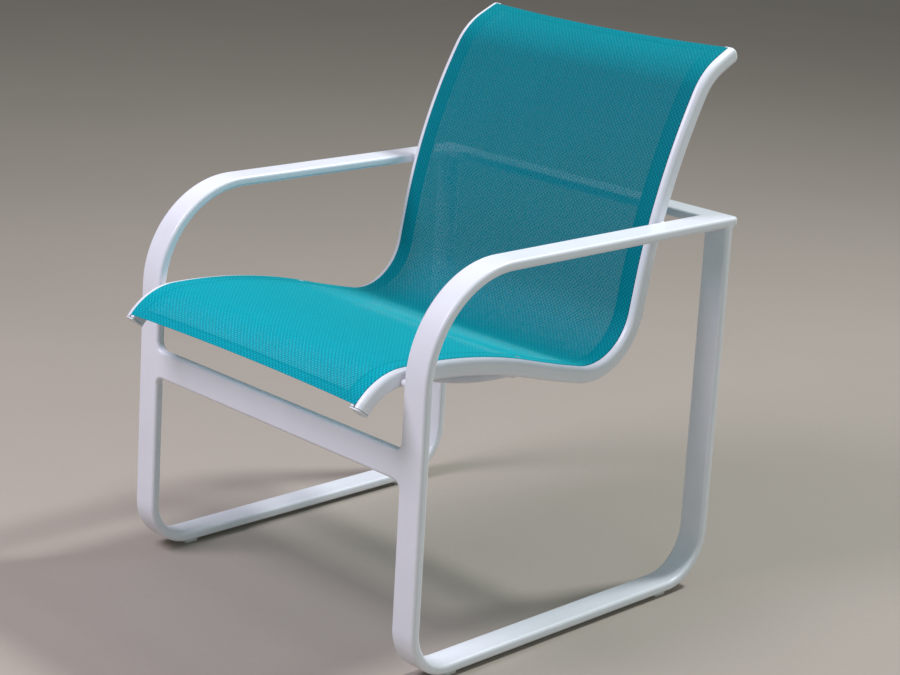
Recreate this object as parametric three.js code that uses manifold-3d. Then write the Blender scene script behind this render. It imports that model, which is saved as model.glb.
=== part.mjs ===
// Sling patio arm chair. Two looped side frames of flat tube stand on runners and are joined by a
// rear bar and a front cross rail. Between them hang two curved rails, each with a keyhole groove
// that holds one edge of the woven seat on a round spline.
// Millimetres, +Z up, +X to the sitter's left. In the constants, y runs back from the front legs'
// front faces at the floor. The finished group is moved so that its origin lies at the middle of
// its footprint.
import * as THREE from 'three';
import { mergeVertices } from 'three/addons/utils/BufferGeometryUtils.js';
import Module from 'manifold-3d';

const wasm = await Module();
wasm.setup();

// Side frames
const armWidth = 604;
const legSplay = 6;
const armTop = 568;
const frameDepth = 618.8;
const rearLegInset = 12;
const frontLegDrift = 4.5;
const rearLegDrift = 1.6;
const tubeWidth = 42.5;
const tubeDepth = 14.5;
const tubeCorner = 5;
const tubeWall = 2;
const armBend = 146;
const footBend = 66;
const heelBend = 75;
const floorWidth = armWidth + 2 * legSplay;

// Front cross rail, of the same tube, with its ends flared into the legs
const crossRailHeight = 304.5;
const flareRadius = 12;
const flareSteps = 4;

// Glides under the runners
const glideHeight = 6;
const glideLength = 24;
const glideWidth = 30;
const glideBevel = 1.5;
const glideLap = 3;
const glideStem = 9.4;
const glideStemReach = 7;

// Sling rails, an extrusion bent to the seat's side view; the path is the line of its front face.
// Above the arms the sling's pull draws them together.
const armGap = 7;
const railOverall = armWidth - 2 * (tubeWidth + armGap);
const railWidth = 19.5;
const railDepth = 24.2;
const railWall = 2;
const railOuterRound = 8.4;
const railInnerRound = 2.5;
const railFrontSetback = -61.8;
const railFrontHeight = 393;
const railFrontPitch = 51.8;
const railTopDraw = 6;
const noseLength = 89.7;
const noseTurn = -51.3;
const backRun = 371.4;
const seatLength = frameDepth - backRun;
const seatTurn = -16.6;
const dipLength = 105.2;
const dipTurn = 3.1;
const valleyLength = 132.3;
const valleyTurn = 92.9;
const lumbarLength = 50.4;
const lumbarTurn = -0.4;
const backLength = 276.1;
const backTurn = -19;
const scrollLength = 63.1;
const scrollTurn = -33.4;
const tipLength = 35;
const tipTurn = -2.8;

// Keyhole groove in each rail's front face, and the bore behind it
const grooveEdge = 10.7;
const grooveSlot = 2.4;
const grooveBore = 8;
const grooveLip = 2;

// Woven sling and the splines in its hems
const clothThickness = 0.9;
const clothSag = 3;
const splineDiameter = 5;
const slingFrontInset = 3;
const slingTopInset = 2.7;
const splineInset = 8;
const frontDraw = 4.5;
const topDraw = 4;

// End caps of the rails
const capPlate = 2.3;
const capGap = 0.8;
const capTongue = 12;
const capDome = 6;

// Rail fixings: a bolt from the rail's inner side through a spacer into an insert in the frame
const boltDiameter = 6;
const boltHead = 10.5;
const boltHeadHeight = 3.3;
const boltDepth = 15.5;
const boltPlay = 0.6;
const spacerDiameter = 10;
const insertDiameter = 8.6;
const insertLength = 12;
const socketAcross = 4;
const socketDepth = 2;

// Bowed bar that holds the rails apart below the seat
const stretcherSetback = 243;
const stretcherDiameter = 22;
const stretcherWall = 1.5;
const stretcherDrop = 14;
const stretcherBow = 56.3;
const endPlateLength = 60;
const endPlateHeight = 21;
const endPlateThickness = 3;
const endPlateCorner = 5;
const screwSpacing = 44;
const screwDiameter = 5;
const screwHead = 9;
const screwHeadHeight = 2.7;
const screwLength = 12;
const screwDepth = 17;

// Clearance between pieces that touch, and the overrun of every cut
const seam = 0.3;
const overrun = 1;

// Fineness of curves: how far a bend's flats may lie off it, and the sides of what is round
const bendError = 0.5;
const cornerSteps = 3;
const keyholeSides = 8;
const roundSides = 10;
const stretcherSteps = 12;
const clothColumns = 6;

// Finishes
const whiteCoat = { color: 0xe9e8f0, roughness: 0.45, metalness: 0.05 };
const clothFinish = { color: 0x1aa9bd, roughness: 0.7, metalness: 0 };
const steelFinish = { color: 0xb9bcc0, roughness: 0.35, metalness: 0.9 };
const capPlastic = { color: 0xe4e4ea, roughness: 0.5, metalness: 0 };
const glidePlastic = { color: 0xd9dad6, roughness: 0.55, metalness: 0 };
const splinePlastic = { color: 0xc9ced0, roughness: 0.6, metalness: 0 };

const chair = new THREE.Group();
const chamfers = [1, 1, 1, 1];
const sides = [
  { name: 'left', sign: 1 },
  { name: 'right', sign: -1 },
];

// Shapes in a plane

// Points along an arc, both ends included
function arc(centre, radius, from, to, steps) {
  const points = [];
  for (let i = 0; i <= steps; i += 1) {
    const angle = THREE.MathUtils.lerp(from, to, i / steps);
    points.push(new THREE.Vector2(Math.cos(angle), Math.sin(angle)).multiplyScalar(radius).add(centre));
  }
  return points;
}

// Rectangle about the origin; radii go round from the lower left corner, against the clock
function roundedRectangle(width, height, radii, steps = Array(4).fill(cornerSteps)) {
  const corners = [[-1, -1], [1, -1], [1, 1], [-1, 1]];
  return corners.flatMap(([right, up], i) => {
    const radius = radii[i];
    const centre = new THREE.Vector2(right * (width / 2 - radius), up * (height / 2 - radius));
    const start = Math.PI + i * Math.PI / 2;
    return arc(centre, radius, start, start + Math.PI / 2, steps[i]);
  });
}

function circle(centre, radius, sides) {
  return arc(centre, radius, Math.PI / 2, Math.PI / 2 - 2 * Math.PI, sides).slice(0, -1);
}

function moved(points, x, y) {
  return points.map((p) => new THREE.Vector2(p.x + x, p.y + y));
}

// Flat tube's section, hollow or solid
function tubeSection(hollow = true) {
  const outline = roundedRectangle(tubeWidth, tubeDepth, Array(4).fill(tubeCorner));
  const bore = Array(4).fill(tubeCorner - tubeWall);
  const inside = roundedRectangle(tubeWidth - 2 * tubeWall, tubeDepth - 2 * tubeWall, bore, chamfers);
  return { outline, holes: hollow ? [inside] : [] };
}

// Paths in the side view, where x of a 2-D point is y of the chair and y is its height

// Each piece is a length and the angle that it turns through
function planPath(start, heading, pieces) {
  const runs = [];
  let point = start;
  let angle = heading;
  let from = 0;
  for (const [length, turn] of pieces) {
    const run = { from, length, turn, point, angle };
    runs.push(run);
    point = alongRun(run, length).point;
    angle += turn;
    from += length;
  }
  return { runs, length: from };
}

function alongRun(run, distance) {
  const bend = run.turn / run.length;
  const angle = run.angle + bend * distance;
  const middle = (run.angle + angle) / 2;
  const half = bend * distance / 2;
  const chord = Math.abs(half) > 1e-9 ? distance * Math.sin(half) / half : distance;
  const step = new THREE.Vector2(Math.cos(middle), Math.sin(middle)).multiplyScalar(chord);
  return { point: step.add(run.point), angle };
}

// Point and heading at a distance along a path, which goes on straight past both its ends
function alongPath(path, distance) {
  const inside = THREE.MathUtils.clamp(distance, 0, path.length);
  const run = path.runs.findLast((r) => r.from <= inside);
  const spot = alongRun(run, inside - run.from);
  const forward = new THREE.Vector2(Math.cos(spot.angle), Math.sin(spot.angle));
  const normal = new THREE.Vector2(-forward.y, forward.x);
  spot.point.addScaledVector(forward, distance - inside);
  return { point: spot.point, angle: spot.angle, forward, normal };
}

// Distances that divide every bend of a path finely enough, between two limits
function pathStops(path, from, to) {
  const stops = [from];
  for (const run of path.runs) {
    const count = Math.max(1, Math.ceil(Math.sqrt(run.length * Math.abs(run.turn) / (8 * bendError))));
    for (let i = 0; i < count; i += 1) {
      const stop = run.from + run.length * i / count;
      if (stop > from + seam && stop < to - seam) {
        stops.push(stop);
      }
    }
  }
  stops.push(to);
  return stops;
}

// Straight legs through corner points, with a bend of its own radius at each inner corner
function bentPieces(corners, radii) {
  const legs = corners.slice(1).map((corner, i) => corner.clone().sub(corners[i]));
  const turns = radii.map((_, i) => legs[i].angleTo(legs[i + 1]) * Math.sign(legs[i].cross(legs[i + 1])));
  const setbacks = radii.map((radius, i) => radius * Math.tan(Math.abs(turns[i]) / 2));
  const pieces = [];
  legs.forEach((leg, i) => {
    pieces.push([leg.length() - (setbacks[i - 1] ?? 0) - (setbacks[i] ?? 0), 0]);
    if (i < radii.length) {
      pieces.push([radii[i] * Math.abs(turns[i]), turns[i]]);
    }
  });
  return pieces;
}

// Closed bodies

// Turns a body's faces outward
function outward(geometry) {
  const position = geometry.attributes.position;
  const index = geometry.index;
  const [a, b, c] = [new THREE.Vector3(), new THREE.Vector3(), new THREE.Vector3()];
  let volume = 0;
  for (let i = 0; i < index.count; i += 3) {
    a.fromBufferAttribute(position, index.getX(i));
    b.fromBufferAttribute(position, index.getX(i + 1));
    c.fromBufferAttribute(position, index.getX(i + 2));
    volume += a.dot(b.cross(c));
  }
  if (volume < 0) {
    for (let i = 0; i < index.count; i += 3) {
      const first = index.getX(i);
      index.setX(i, index.getX(i + 1));
      index.setX(i + 1, first);
    }
  }
  geometry.computeVertexNormals();
  return geometry;
}

// One body through a row of alike sections: place gives the spot of a section's point at a stop
function loft(stops, section, place) {
  const outline = [...section.outline];
  if (THREE.ShapeUtils.isClockWise(outline)) {
    outline.reverse();
  }
  const holes = section.holes.map((hole) => (THREE.ShapeUtils.isClockWise(hole) ? [...hole] : [...hole].reverse()));
  const points = [outline, ...holes].flat();
  const ring = points.length;
  const positions = stops.flatMap((stop) => points.flatMap((p) => place(p, stop).toArray()));
  const index = [];
  let first = 0;
  for (const contour of [outline, ...holes]) {
    for (let k = 0; k + 1 < stops.length; k += 1) {
      for (let i = 0; i < contour.length; i += 1) {
        const a = k * ring + first + i;
        const b = k * ring + first + (i + 1) % contour.length;
        index.push(a, b, b + ring, a, b + ring, a + ring);
      }
    }
    first += contour.length;
  }
  const last = (stops.length - 1) * ring;
  for (const [a, b, c] of THREE.ShapeUtils.triangulateShape(outline, holes)) {
    const area = points[b].clone().sub(points[a]).cross(points[c].clone().sub(points[a]));
    const [p, q] = area > 0 ? [b, c] : [c, b];
    index.push(a, q, p, last + a, last + p, last + q);
  }
  const geometry = new THREE.BufferGeometry();
  geometry.setAttribute('position', new THREE.Float32BufferAttribute(positions, 3));
  geometry.setIndex(index);
  return outward(geometry);
}

// Body turned about an axis along X, from a profile of [radius, distance along X]
function turned(profile, centre, turnedRound = false, sides = roundSides) {
  const points = profile.map(([radius, along]) => new THREE.Vector2(radius, along));
  const geometry = new THREE.LatheGeometry(points, sides);
  geometry.rotateZ(turnedRound ? Math.PI / 2 : -Math.PI / 2);
  geometry.translate(centre.x, centre.y, centre.z);
  return outward(mergeVertices(bare(geometry)));
}

function bare(geometry) {
  geometry.deleteAttribute('normal');
  geometry.deleteAttribute('uv');
  return geometry;
}

function toManifold(geometry) {
  const merged = mergeVertices(bare(geometry.clone()));
  return new wasm.Manifold(new wasm.Mesh({
    numProp: 3,
    vertProperties: merged.attributes.position.array,
    triVerts: Uint32Array.from(merged.index.array),
  }));
}

function fromManifold(body) {
  const mesh = body.getMesh();
  const geometry = new THREE.BufferGeometry();
  geometry.setAttribute('position', new THREE.Float32BufferAttribute(mesh.vertProperties, 3));
  geometry.setIndex([...mesh.triVerts]);
  geometry.computeVertexNormals();
  return geometry;
}

function cut(geometry, tools) {
  return fromManifold(tools.reduce((body, tool) => body.subtract(toManifold(tool)), toManifold(geometry)));
}

function joined(geometries) {
  return fromManifold(geometries.map(toManifold).reduce((body, other) => body.add(other)));
}

// Solid rod along X between two places, as a cutter
function crossRod(diameter, from, to, centre) {
  const [low, high] = [Math.min(from, to), Math.max(from, to)];
  const radius = diameter / 2;
  const profile = [[0, 0], [radius, 0], [radius, high - low], [0, high - low]];
  return turned(profile, new THREE.Vector3(low, centre.x, centre.y));
}

function addPiece(name, geometry, finish) {
  const mesh = new THREE.Mesh(geometry, new THREE.MeshStandardMaterial(finish));
  mesh.name = name;
  chair.add(mesh);
}

// Side frame's route and places on it

// The tube's outer face lies a little further out at the floor than at the arms
function outerFace(height) {
  return THREE.MathUtils.lerp(floorWidth, armWidth, height / armTop) / 2;
}

function frontLegFace(height) {
  return frontLegDrift * height / armTop;
}

function rearLegFace(height) {
  return frameDepth - rearLegInset + rearLegDrift * (armTop - height) / armTop;
}

const armLine = armTop - tubeDepth / 2;
const runnerLine = glideHeight + tubeDepth / 2;
const legTop = armTop - tubeDepth - seam;
const innerArm = armWidth / 2 - tubeWidth;
const frameCorners = [
  new THREE.Vector2(frameDepth, armLine),
  new THREE.Vector2(frontLegFace(armLine) + tubeDepth / 2, armLine),
  new THREE.Vector2(frontLegFace(runnerLine) + tubeDepth / 2, runnerLine),
  new THREE.Vector2(rearLegFace(runnerLine) - tubeDepth / 2, runnerLine),
  new THREE.Vector2(rearLegFace(legTop) - tubeDepth / 2, legTop),
];
const frameBends = [armBend, footBend, heelBend];
const framePath = planPath(frameCorners[0], Math.PI, bentPieces(frameCorners, frameBends));

// The arm ends and the rear bar meet on a mitre at 45 degrees
function mitre(across) {
  return frameDepth - (armWidth / 2 - across);
}

function sideFrameBody(sign) {
  return loft(pathStops(framePath, 0, framePath.length), tubeSection(), (p, stop) => {
    const { point, normal } = alongPath(framePath, stop);
    const height = stop === 0 ? armTop : point.y;
    const across = outerFace(stop < framePath.runs[0].length ? armTop : height) - tubeWidth / 2 + p.x;
    const spot = point.clone().addScaledVector(normal, p.y);
    const back = stop === 0 ? mitre(across) - seam : spot.x;
    return new THREE.Vector3(sign * across, back, spot.y);
  });
}

// Rails' route and places on it

const degrees = THREE.MathUtils.degToRad;
const railPath = planPath(
  new THREE.Vector2(railFrontSetback, railFrontHeight),
  degrees(railFrontPitch),
  [
    [noseLength, degrees(noseTurn)],
    [seatLength, degrees(seatTurn)],
    [dipLength, degrees(dipTurn)],
    [valleyLength, degrees(valleyTurn)],
    [lumbarLength, degrees(lumbarTurn)],
    [backLength, degrees(backTurn)],
    [scrollLength, degrees(scrollTurn)],
    [tipLength, degrees(tipTurn)],
  ],
);
const railStops = pathStops(railPath, 0, railPath.length);
const railCentre = (railOverall - railWidth) / 2;
const railOuterFace = railOverall / 2;
const railInnerFace = railOuterFace - railWidth;

// Spot in the side view at a distance along the rail and a depth behind its front face
function railSpot(distance, depth) {
  const { point, normal } = alongPath(railPath, distance);
  return point.clone().addScaledVector(normal, -depth);
}

// Distance along the rail at which a measure of the spot there reaches a value, by halving
function railDistance(depth, measure, value) {
  let [low, high] = [0, railPath.length];
  const rounds = 50;
  for (let i = 0; i < rounds; i += 1) {
    const middle = (low + high) / 2;
    if (measure(railSpot(middle, depth)) < value) {
      low = middle;
    } else {
      high = middle;
    }
  }
  return low;
}

// Keyhole: down one side of a neck, round a bore and up the other side
const boreRadius = grooveBore / 2;
const boreCentre = new THREE.Vector2(
  railWidth / 2 - grooveEdge - grooveSlot / 2,
  -grooveLip - Math.sqrt(boreRadius ** 2 - (grooveSlot / 2) ** 2),
);

function keyhole(radius, neck, tops) {
  const lean = Math.asin(neck / 2 / radius);
  const ends = [Math.PI / 2 - lean, Math.PI / 2 + lean].map((angle) => arc(boreCentre, radius, angle, angle, 1)[0]);
  return [
    new THREE.Vector2(boreCentre.x + neck / 2, tops[0]),
    ends[0],
    ...circle(boreCentre, radius, keyholeSides).slice(1),
    ends[1],
    new THREE.Vector2(boreCentre.x - neck / 2, tops[1]),
  ];
}

const railRadii = [railInnerRound, railOuterRound, railOuterRound, railInnerRound];
const railSteps = [1, cornerSteps, cornerSteps, 1];

function railOutline() {
  return moved(roundedRectangle(railWidth, railDepth, railRadii, railSteps), 0, -railDepth / 2);
}

// The rail's hollow behind the bore
function chamber(inset) {
  const top = boreCentre.y - boreRadius - railWall;
  const width = railWidth - 2 * railWall;
  const height = top + railDepth - railWall;
  const radii = [railInnerRound - railWall, railOuterRound - railWall, railWall, railWall];
  const outline = roundedRectangle(width - 2 * inset, height - 2 * inset, radii, chamfers);
  return moved(outline, 0, top - height / 2);
}

function railSection() {
  const outline = railOutline();
  const groove = keyhole(boreRadius, grooveSlot, [0, 0]);
  const frontCorner = outline.length - (railSteps[3] + 1);
  outline.splice(frontCorner, 0, ...groove);
  return { outline, holes: [chamber(0)] };
}

const armFixing = railDistance(boltDepth, (spot) => spot.y, armLine);

// How far the rails are drawn inward, which grows from the arm fixing to the top
function railDraw(distance) {
  const share = Math.max(0, distance - armFixing) / (railPath.length - armFixing);
  return railTopDraw * share ** 2;
}

// Places a section's point on the rails' path; across is measured outward from the rail's middle
function onRail(sign, p, distance) {
  const { point, normal } = alongPath(railPath, distance);
  const spot = point.clone().addScaledVector(normal, p.y);
  return new THREE.Vector3(sign * (railCentre - railDraw(distance) + p.x), spot.x, spot.y);
}

// The same, on the straight stretch between the two nearest stops of the rail's own body
function onRailChord(sign, p, distance) {
  const after = railStops.findIndex((stop) => stop > distance);
  if (after < 1) {
    return onRail(sign, p, distance);
  }
  const [low, high] = [railStops[after - 1], railStops[after]];
  return onRail(sign, p, low).lerp(onRail(sign, p, high), (distance - low) / (high - low));
}

// Fixings between rail and frame

const frontFixing = railDistance(boltDepth, (spot) => spot.x - frontLegFace(spot.y), tubeDepth / 2);
const fixings = [
  { name: 'front', distance: frontFixing },
  { name: 'arm', distance: armFixing },
].map((fixing) => {
  const centre = railSpot(fixing.distance, boltDepth);
  const frameFace = fixing.name === 'arm' ? innerArm : outerFace(centre.y) - tubeWidth;
  return { ...fixing, centre, frameFace };
});
const boltHole = boltDiameter + boltPlay;

// Stretcher's frame of axes: along the rail, and square to its front face
const stretcherStop = railDistance(stretcherDrop, (spot) => spot.x, stretcherSetback);
const stretcherAxes = alongPath(railPath, stretcherStop);

function onStretcher(across, along, drop) {
  const spot = stretcherAxes.point.clone();
  spot.addScaledVector(stretcherAxes.forward, along).addScaledVector(stretcherAxes.normal, -drop);
  return new THREE.Vector3(across, spot.x, spot.y);
}

const screwSpots = [-1, 1].map((end) => onStretcher(0, end * screwSpacing / 2, screwDepth));
const screwHole = screwDiameter + boltPlay;

function inSideView(spot) {
  return new THREE.Vector2(spot.y, spot.z);
}

// Pieces

function makeSideFrame(side) {
  const body = sideFrameBody(side.sign);
  const inserts = fixings.map(({ centre, frameFace }) => crossRod(
    insertDiameter + 2 * seam,
    side.sign * (frameFace - overrun),
    side.sign * (frameFace + insertLength + seam),
    centre,
  ));
  const stems = glideSpots.map((back) => glideStemRod(side.sign, back, glideStem + 2 * seam, overrun));
  addPiece(`side_frame_${side.name}`, cut(body, [...inserts, ...stems]), whiteCoat);
}

function makeRearBar() {
  const middle = new THREE.Vector2(frameDepth - tubeWidth / 2, armLine);
  const body = loft([-1, 1], tubeSection(), (p, end) => {
    const back = middle.x + p.x;
    return new THREE.Vector3(end * (armWidth / 2 - (frameDepth - back) - seam), back, middle.y + p.y);
  });
  addPiece('rear_bar', body, whiteCoat);
}

// The flare is a quarter round between the rail's edge and the leg
function flare(distance) {
  const reach = Math.max(0, flareRadius - distance);
  return flareRadius - Math.sqrt(flareRadius ** 2 - reach ** 2);
}

function makeCrossRail() {
  const distances = [];
  for (let i = 0; i <= flareSteps; i += 1) {
    distances.push(flareRadius * (1 - Math.cos(i / flareSteps * Math.PI / 2)));
  }
  const stops = [
    ...distances.map((distance) => ({ end: -1, distance })),
    ...distances.reverse().map((distance) => ({ end: 1, distance })),
  ];
  const straight = tubeWidth / 2 - tubeCorner - seam;
  const body = loft(stops, tubeSection(), (p, { end, distance }) => {
    const spread = Math.abs(p.x) > straight ? Math.sign(p.x) * flare(distance) : 0;
    const height = crossRailHeight + p.x + spread;
    const back = frontLegFace(height) + tubeDepth / 2 + p.y;
    return new THREE.Vector3(end * (outerFace(height) - tubeWidth - seam - distance), back, height);
  });
  addPiece('front_cross_rail', body, whiteCoat);
}

// Glides sit where each bend runs into the runner, and their tops follow the tube
const bendEnds = [
  { name: 'front', end: frameCorners[2].x + footBend, toward: -1, radius: footBend + tubeDepth / 2 },
  { name: 'rear', end: frameCorners[3].x - heelBend, toward: 1, radius: heelBend + tubeDepth / 2 },
];
const glideSpots = bendEnds.map(({ end, toward }) => end - toward * (glideLength / 2 - glideLap));
const glideAcross = outerFace(0) - tubeWidth / 2;

function tubeUnderside(bend, back) {
  const past = Math.max(0, (back - bend.end) * bend.toward);
  return glideHeight + bend.radius - Math.sqrt(bend.radius ** 2 - past ** 2);
}

function glideStemRod(sign, back, diameter, below) {
  const height = glideHeight + glideStemReach + below;
  const rod = new THREE.CylinderGeometry(diameter / 2, diameter / 2, height, roundSides);
  rod.rotateX(Math.PI / 2);
  rod.translate(sign * glideAcross, back, glideHeight + glideStemReach - height / 2);
  return rod;
}

function makeGlide(side, bend, middle) {
  const steps = 6;
  const stops = [];
  for (let i = 0; i <= steps; i += 1) {
    stops.push(middle + glideLength * (i / steps - 1 / 2));
  }
  const inset = glideBevel / glideHeight;
  const half = glideWidth / 2;
  const outline = [
    new THREE.Vector2(-half + glideBevel, 0),
    new THREE.Vector2(half - glideBevel, 0),
    new THREE.Vector2(half, inset),
    new THREE.Vector2(half, 1),
    new THREE.Vector2(-half, 1),
    new THREE.Vector2(-half, inset),
  ];
  const pad = loft(stops, { outline, holes: [] }, (p, back) => {
    const top = tubeUnderside(bend, back) - seam;
    return new THREE.Vector3(side.sign * glideAcross + p.x, back, top * p.y);
  });
  const stem = glideStemRod(side.sign, middle, glideStem, -glideHeight / 2);
  addPiece(`glide_${bend.name}_${side.name}`, joined([pad, stem]), glidePlastic);
}

function makeRail(side) {
  const body = loft(railStops, railSection(), (p, distance) => onRail(side.sign, p, distance));
  const bolts = fixings.map(({ centre }) => crossRod(
    boltHole,
    side.sign * (railInnerFace - overrun),
    side.sign * (railOuterFace + overrun),
    centre,
  ));
  const screws = screwSpots.map((spot) => crossRod(
    screwHole,
    side.sign * (railInnerFace - overrun),
    side.sign * (railInnerFace + railWall + overrun),
    inSideView(spot),
  ));
  addPiece(`sling_rail_${side.name}`, cut(body, [...bolts, ...screws]), whiteCoat);
}

// The sling's edge goes down the groove's neck and round the spline, as a hem does
function makeSling() {
  const hemBore = splineDiameter / 2 + seam;
  const hemRadius = hemBore + clothThickness;
  const low = seam;
  const high = seam + clothThickness;
  const neck = 2 * clothThickness;
  const neckAcross = railCentre + boreCentre.x;
  const flatHalf = neckAcross - grooveBore / 2;
  const columns = [];
  for (let i = 0; i <= clothColumns; i += 1) {
    columns.push(flatHalf * (2 * i / clothColumns - 1));
  }
  const dip = (x) => clothSag * (1 - (x / flatHalf) ** 2);
  const hem = moved(keyhole(hemRadius, neck, [high, low]), railCentre, 0);
  const mirrored = hem.map((p) => new THREE.Vector2(-p.x, p.y)).reverse();
  const outline = [
    ...columns.map((x) => new THREE.Vector2(x, high - dip(x))),
    ...hem,
    ...columns.toReversed().map((x) => new THREE.Vector2(x, low - dip(x))),
    ...mirrored,
  ];
  const pocket = moved(circle(boreCentre, hemBore, keyholeSides), railCentre, 0);
  const holes = [pocket, pocket.map((p) => new THREE.Vector2(-p.x, p.y))];
  const [start, end] = [slingFrontInset, railPath.length - slingTopInset];
  const body = loft(pathStops(railPath, start, end), { outline, holes }, (p, distance) => {
    const middle = 1 - Math.min(1, (p.x / flatHalf) ** 2);
    const share = (distance - start) / (end - start);
    const drawn = distance + middle * ((1 - share) * frontDraw - share * topDraw);
    const { point, normal } = alongPath(railPath, drawn);
    const spot = point.clone().addScaledVector(normal, p.y);
    const inward = THREE.MathUtils.clamp(p.x / flatHalf, -1, 1) * railDraw(distance);
    return new THREE.Vector3(p.x - inward, spot.x, spot.y);
  });
  addPiece('sling', body, clothFinish);
}

function makeSpline(side) {
  const outline = circle(boreCentre, splineDiameter / 2, keyholeSides);
  const stops = pathStops(railPath, splineInset, railPath.length - splineInset);
  const body = loft(stops, { outline, holes: [] }, (p, distance) => onRail(side.sign, p, distance));
  addPiece(`spline_${side.name}`, body, splinePlastic);
}

// A cap closes a rail's end and plugs into its hollow; the one at the top is domed
function makeCap(side, end) {
  const domeSteps = end.dome > 0 ? 4 : 0;
  const middle = -railDepth / 2;
  const stops = [{ out: capGap, size: 1 }];
  for (let i = 0; i <= domeSteps; i += 1) {
    const angle = domeSteps > 0 ? i / (domeSteps + 1) * Math.PI / 2 : 0;
    stops.push({ out: capGap + end.plate + end.dome * Math.sin(angle), size: Math.cos(angle) });
  }
  const head = loft(stops, { outline: railOutline(), holes: [] }, (p, { out, size }) => {
    const shrunk = new THREE.Vector2(p.x * size, middle + (p.y - middle) * size);
    return onRail(side.sign, shrunk, end.at + end.toward * out);
  });
  const inner = end.at - end.toward * capTongue;
  const tongueStops = [inner, end.at, end.at + end.toward * (capGap + end.plate / 2)];
  const tongue = loft(tongueStops, { outline: chamber(seam), holes: [] }, (p, distance) => (
    onRailChord(side.sign, p, distance)
  ));
  addPiece(`rail_cap_${end.name}_${side.name}`, joined([head, tongue]), capPlastic);
}

// Screw or bolt with a round head and a hexagon socket, pointing outward from its head's seat
function makeScrew(name, side, centre, seat, size) {
  const head = size.head / 2;
  const shank = size.diameter / 2;
  const crown = size.height * 2 / 3;
  const profile = [
    [0, -size.height],
    [head * 2 / 3, -size.height],
    [head, -size.height + crown],
    [head, 0],
    [shank, 0],
    [shank, size.length],
    [0, size.length],
  ];
  const spot = new THREE.Vector3(side.sign * seat, centre.x, centre.y);
  const body = turned(profile, spot, side.sign < 0);
  const key = new THREE.CylinderGeometry(socketAcross / 2, socketAcross / 2, socketDepth + overrun, 6);
  key.rotateZ(Math.PI / 2);
  key.translate(side.sign * (seat - size.height + (socketDepth - overrun) / 2), centre.x, centre.y);
  addPiece(name, cut(body, [key]), steelFinish);
}

function ringBody(outer, inner, from, to, centre, sign) {
  const profile = [[inner / 2, 0], [outer / 2, 0], [outer / 2, to - from], [inner / 2, to - from], [inner / 2, 0]];
  return turned(profile, new THREE.Vector3(sign * from, centre.x, centre.y), sign < 0);
}

function makeFixing(side, { name, centre, frameFace }) {
  const tag = `${name}_${side.name}`;
  const seat = railInnerFace - seam;
  const end = frameFace + insertLength;
  const spacer = ringBody(spacerDiameter, boltHole, railOuterFace + seam, frameFace - seam, centre, side.sign);
  const insert = ringBody(insertDiameter, boltHole, frameFace, end, centre, side.sign);
  const size = { head: boltHead, height: boltHeadHeight, diameter: boltDiameter, length: end - seat };
  makeScrew(`rail_bolt_${tag}`, side, centre, seat, size);
  addPiece(`rail_spacer_${tag}`, spacer, whiteCoat);
  addPiece(`frame_insert_${tag}`, insert, steelFinish);
}

const plateSeat = railInnerFace - seam;
const stretcherHalf = plateSeat - endPlateThickness - seam;

function makeStretcher() {
  const bend = (stretcherHalf ** 2 + stretcherBow ** 2) / (2 * stretcherBow);
  const reach = Math.asin(stretcherHalf / bend);
  const stops = [];
  for (let i = 0; i <= stretcherSteps; i += 1) {
    stops.push(THREE.MathUtils.lerp(-reach, reach, i / stretcherSteps));
  }
  const centre = new THREE.Vector2(0, 0);
  const outline = circle(centre, stretcherDiameter / 2, roundSides);
  const holes = [circle(centre, stretcherDiameter / 2 - stretcherWall, roundSides)];
  const body = loft(stops, { outline, holes }, (p, angle) => {
    const sag = stretcherBow - bend * (1 - Math.cos(angle));
    const atEnd = Math.abs(angle) > reach - seam / bend;
    const across = atEnd ? Math.sign(angle) * stretcherHalf : (bend - p.y) * Math.sin(angle);
    const drop = atEnd ? -p.y / Math.cos(angle) : sag - p.y * Math.cos(angle);
    return onStretcher(across, p.x, stretcherDrop + drop);
  });
  addPiece('seat_stretcher', body, whiteCoat);
}

function makeEndPlate(side) {
  const outline = roundedRectangle(endPlateLength, endPlateHeight, Array(4).fill(endPlateCorner));
  const middle = stretcherDrop;
  const body = loft([plateSeat - endPlateThickness, plateSeat], { outline, holes: [] }, (p, across) => (
    onStretcher(side.sign * across, p.x, middle - p.y)
  ));
  const holes = screwSpots.map((spot) => crossRod(
    screwHole,
    side.sign * (plateSeat - endPlateThickness - overrun),
    side.sign * (plateSeat + overrun),
    inSideView(spot),
  ));
  addPiece(`stretcher_plate_${side.name}`, cut(body, holes), whiteCoat);
}

function makePlateScrews(side) {
  const seat = plateSeat - endPlateThickness - seam;
  const size = { head: screwHead, height: screwHeadHeight, diameter: screwDiameter, length: screwLength };
  ['front', 'rear'].forEach((end, i) => {
    makeScrew(`stretcher_screw_${end}_${side.name}`, side, inSideView(screwSpots[i]), seat, size);
  });
}

const railEnds = [
  { name: 'front', at: 0, toward: -1, plate: capPlate, dome: 0 },
  { name: 'top', at: railPath.length, toward: 1, plate: capPlate / 2, dome: capDome },
];

makeRearBar();
makeCrossRail();
makeSling();
makeStretcher();
for (const side of sides) {
  makeSideFrame(side);
  bendEnds.forEach((bend, i) => makeGlide(side, bend, glideSpots[i]));
  makeRail(side);
  makeSpline(side);
  railEnds.forEach((end) => makeCap(side, end));
  fixings.forEach((fixing) => makeFixing(side, fixing));
  makeEndPlate(side);
  makePlateScrews(side);
}

// The origin goes to the middle of the footprint, on the floor
const box = new THREE.Box3().setFromObject(chair);
chair.position.y = -(box.min.y + box.max.y) / 2;
chair.updateMatrixWorld(true);

export default chair;
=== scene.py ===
import math

import bmesh
import bpy
from mathutils import Matrix, Vector


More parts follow.
